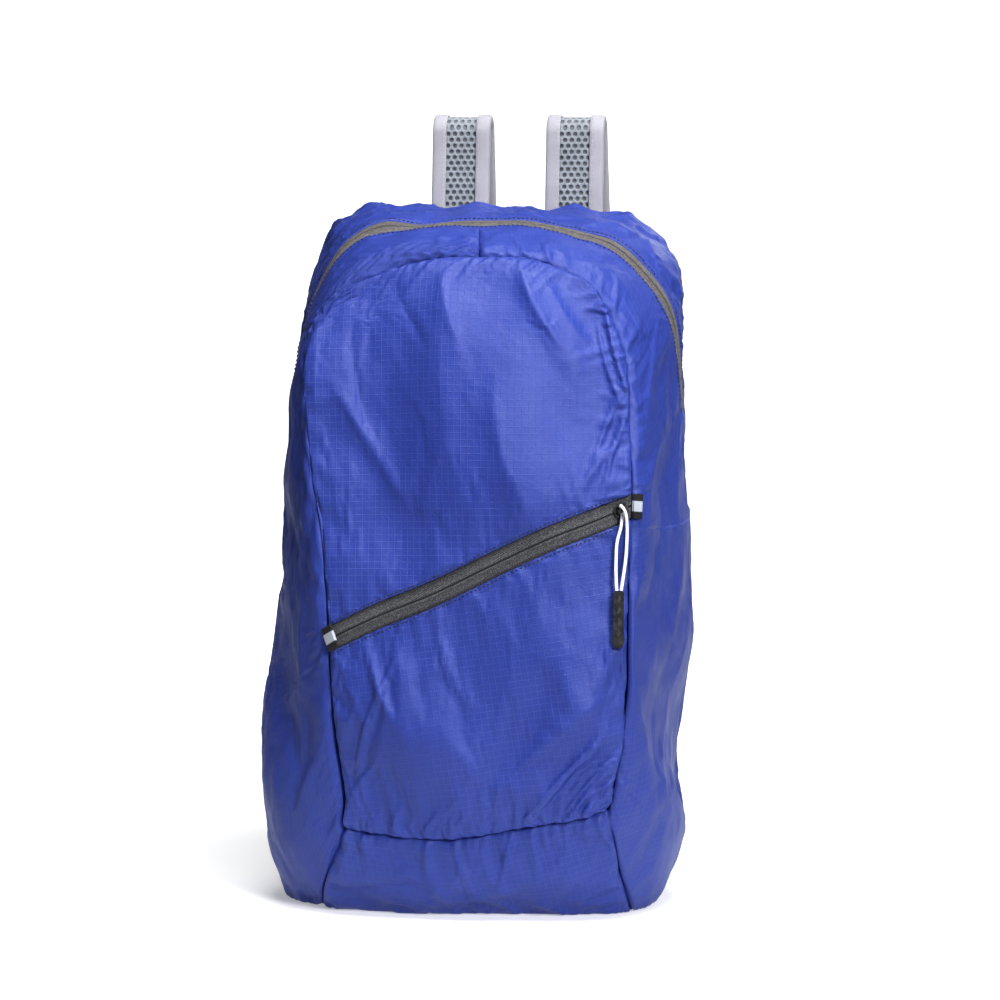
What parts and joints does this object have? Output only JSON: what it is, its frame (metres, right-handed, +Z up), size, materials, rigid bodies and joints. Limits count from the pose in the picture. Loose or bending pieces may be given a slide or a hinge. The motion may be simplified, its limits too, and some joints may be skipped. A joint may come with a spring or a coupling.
{
  "type": "packable backpack",
  "caption": "Soft packable daypack of thin ripstop cloth with a zip over the top, a slanting front pocket zip and two mesh shoulder straps.",
  "frame": {"origin": "middle of the part's footprint, on the surface that it stands on", "axes": "+Z up, -Y out of the front panel, +X to the right seen from the front"},
  "size_m": [0.2646, 0.2182, 0.4906],
  "materials": {
    "ripstop": "thin royal blue ripstop, slight sheen",
    "zip_tape": "grey twill tape",
    "zip_coil": "black coil",
    "slider": "black lacquer",
    "cord": "white braid",
    "grip": "black moulded, satin",
    "tab": "black ribbon with a silver stripe",
    "strap_mesh": "grey spacer mesh",
    "strap_backing": "dark grey ribbed cloth",
    "binding": "light grey folded tape",
    "webbing": "dark grey woven webbing",
    "buckle": "black moulded"
  },
  "bodies": {
    "root": {"front_panel_lower": "ripstop", "front_panel_upper": "ripstop", "back_panel": "ripstop", "side_panel_left": "ripstop", "side_panel_right": "ripstop", "bottom_panel": "ripstop", "top_back_panel": "ripstop", "main_zip_tape_front": "zip_tape", "main_zip_tape_back": "zip_tape", "pocket_zip_tape_lower": "zip_tape", "pocket_zip_tape_upper": "zip_tape", "main_zip_coil": "zip_coil", "pocket_zip_coil": "zip_coil", "main_zip_slider": "slider", "pocket_zip_slider": "slider", "pull_cord": "cord", "pull_grip": "grip", "tab_left": "tab", "tab_right": "tab", "strap_mesh_left": "strap_mesh", "strap_backing_left": "strap_backing", "strap_binding_inner_left": "binding", "strap_binding_outer_left": "binding", "strap_end_loop_left": "webbing", "ladder_lock_left": "buckle", "lower_webbing_left": "webbing", "strap_mesh_right": "strap_mesh", "strap_backing_right": "strap_backing", "strap_binding_inner_right": "binding", "strap_binding_outer_right": "binding", "strap_end_loop_right": "webbing", "ladder_lock_right": "buckle", "lower_webbing_right": "webbing"}
  },
  "joints": []
}
